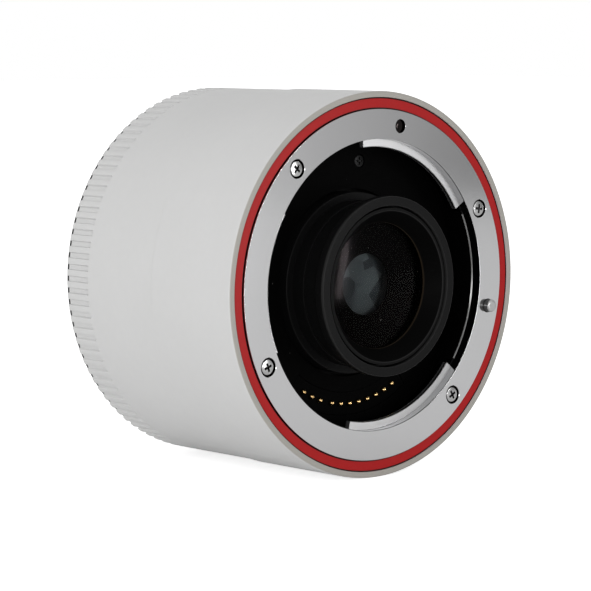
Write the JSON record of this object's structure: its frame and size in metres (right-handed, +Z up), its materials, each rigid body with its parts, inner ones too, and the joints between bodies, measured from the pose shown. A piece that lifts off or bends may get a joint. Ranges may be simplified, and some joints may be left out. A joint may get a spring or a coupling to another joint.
{
  "type": "camera teleconverter",
  "caption": "Short white barrel with bayonet mounts at both ends and glass inside, which fits between a camera and a lens and magnifies its image.",
  "frame": {"origin": "centre of the camera-side mount face, on the optical axis", "axes": "+Y along the optical axis towards the camera, so the lens end faces -Y; +Z up through the index of the lens mount; +X towards the release lever"},
  "size_m": [0.074, 0.0608, 0.0716],
  "materials": {
    "white_shell": "satin off-white paint",
    "black_trim": "matte black",
    "red_paint": "satin red paint",
    "chrome": "satin chrome on brass",
    "screw_steel": "bright steel",
    "spring_steel": "bright spring steel",
    "frame_alloy": "black anodised",
    "black_plastic": "matte black, fine grain",
    "black_screw": "black oxide",
    "lens_black": "black anodised, satin",
    "glass": "polished, anti-reflection coated",
    "gold": "gold plated",
    "board_green": "solder mask",
    "chip_black": "moulded",
    "flex_amber": "film",
    "lever_black": "matte dark grey"
  },
  "bodies": {
    "barrel": {"front_shell": "white_shell", "rear_shell": "white_shell", "rear_trim_ring": "black_trim", "red_ring": "red_paint", "front_mount_ring": "chrome", "front_mount_screws": "screw_steel", "mount_spring_plate": "spring_steel", "main_frame": "frame_alloy", "rear_plate": "frame_alloy", "front_baffle": "black_plastic", "baffle_screws": "black_screw", "front_contact_block": "black_plastic", "contact_board": "board_green", "contact_springs": "spring_steel", "front_lens_cell": "lens_black", "front_retaining_ring": "lens_black", "optical_tube": "lens_black", "optical_tube_screws": "screw_steel", "lens_1": "glass", "lens_2": "glass", "lens_3": "glass", "lens_4": "glass", "lens_5": "glass", "lens_6": "glass", "lens_7": "glass", "lens_8": "glass", "lens_9": "glass", "spacer_1": "lens_black", "spacer_2": "lens_black", "spacer_3": "lens_black", "spacer_4": "lens_black", "rear_retaining_ring": "lens_black", "rear_baffle": "black_plastic", "rear_baffle_screws": "black_screw", "circuit_board": "board_green", "controller_chip": "chip_black", "board_screws": "screw_steel", "front_flex_cable": "flex_amber", "rear_flex_cable": "flex_amber", "rear_mount_ring": "chrome", "rear_mount_screws": "screw_steel", "rear_contact_block": "black_plastic", "rear_contact_pads": "gold", "rear_index_mark": "red_paint", "lock_spring": "spring_steel"},
    "release": {"release_lever": "lever_black", "release_slider": "frame_alloy", "lock_pin": "chrome"},
    "contact_pin_01": {"contact_pin_01": "gold"},
    "contact_pin_02": {"contact_pin_02": "gold"},
    "contact_pin_03": {"contact_pin_03": "gold"},
    "contact_pin_04": {"contact_pin_04": "gold"},
    "contact_pin_05": {"contact_pin_05": "gold"},
    "contact_pin_06": {"contact_pin_06": "gold"},
    "contact_pin_07": {"contact_pin_07": "gold"},
    "contact_pin_08": {"contact_pin_08": "gold"},
    "contact_pin_09": {"contact_pin_09": "gold"},
    "contact_pin_10": {"contact_pin_10": "gold"},
    "contact_pin_11": {"contact_pin_11": "gold"}
  },
  "joints": [
    {"name": "lens_release", "type": "slide", "parent": "barrel", "child": "release", "axis": [0, 1, 0], "range_m": [0, 0.002], "stiffness_N_per_m": 400, "springref_m": -0.002, "deforming": ["lock_spring"]},
    {"name": "contact_pin_01_press", "type": "slide", "parent": "barrel", "child": "contact_pin_01", "axis": [0, 1, 0], "range_m": [0, 0.0007], "stiffness_N_per_m": 300, "springref_m": -0.0005, "deforming": ["contact_springs"]},
    {"name": "contact_pin_02_press", "type": "slide", "parent": "barrel", "child": "contact_pin_02", "axis": [0, 1, 0], "range_m": [0, 0.0007], "stiffness_N_per_m": 300, "springref_m": -0.0005, "deforming": ["contact_springs"]},
    {"name": "contact_pin_03_press", "type": "slide", "parent": "barrel", "child": "contact_pin_03", "axis": [0, 1, 0], "range_m": [0, 0.0007], "stiffness_N_per_m": 300, "springref_m": -0.0005, "deforming": ["contact_springs"]},
    {"name": "contact_pin_04_press", "type": "slide", "parent": "barrel", "child": "contact_pin_04", "axis": [0, 1, 0], "range_m": [0, 0.0007], "stiffness_N_per_m": 300, "springref_m": -0.0005, "deforming": ["contact_springs"]},
    {"name": "contact_pin_05_press", "type": "slide", "parent": "barrel", "child": "contact_pin_05", "axis": [0, 1, 0], "range_m": [0, 0.0007], "stiffness_N_per_m": 300, "springref_m": -0.0005, "deforming": ["contact_springs"]},
    {"name": "contact_pin_06_press", "type": "slide", "parent": "barrel", "child": "contact_pin_06", "axis": [0, 1, 0], "range_m": [0, 0.0007], "stiffness_N_per_m": 300, "springref_m": -0.0005, "deforming": ["contact_springs"]},
    {"name": "contact_pin_07_press", "type": "slide", "parent": "barrel", "child": "contact_pin_07", "axis": [0, 1, 0], "range_m": [0, 0.0007], "stiffness_N_per_m": 300, "springref_m": -0.0005, "deforming": ["contact_springs"]},
    {"name": "contact_pin_08_press", "type": "slide", "parent": "barrel", "child": "contact_pin_08", "axis": [0, 1, 0], "range_m": [0, 0.0007], "stiffness_N_per_m": 300, "springref_m": -0.0005, "deforming": ["contact_springs"]},
    {"name": "contact_pin_09_press", "type": "slide", "parent": "barrel", "child": "contact_pin_09", "axis": [0, 1, 0], "range_m": [0, 0.0007], "stiffness_N_per_m": 300, "springref_m": -0.0005, "deforming": ["contact_springs"]},
    {"name": "contact_pin_10_press", "type": "slide", "parent": "barrel", "child": "contact_pin_10", "axis": [0, 1, 0], "range_m": [0, 0.0007], "stiffness_N_per_m": 300, "springref_m": -0.0005, "deforming": ["contact_springs"]},
    {"name": "contact_pin_11_press", "type": "slide", "parent": "barrel", "child": "contact_pin_11", "axis": [0, 1, 0], "range_m": [0, 0.0007], "stiffness_N_per_m": 300, "springref_m": -0.0005, "deforming": ["contact_springs"]}
  ]
}
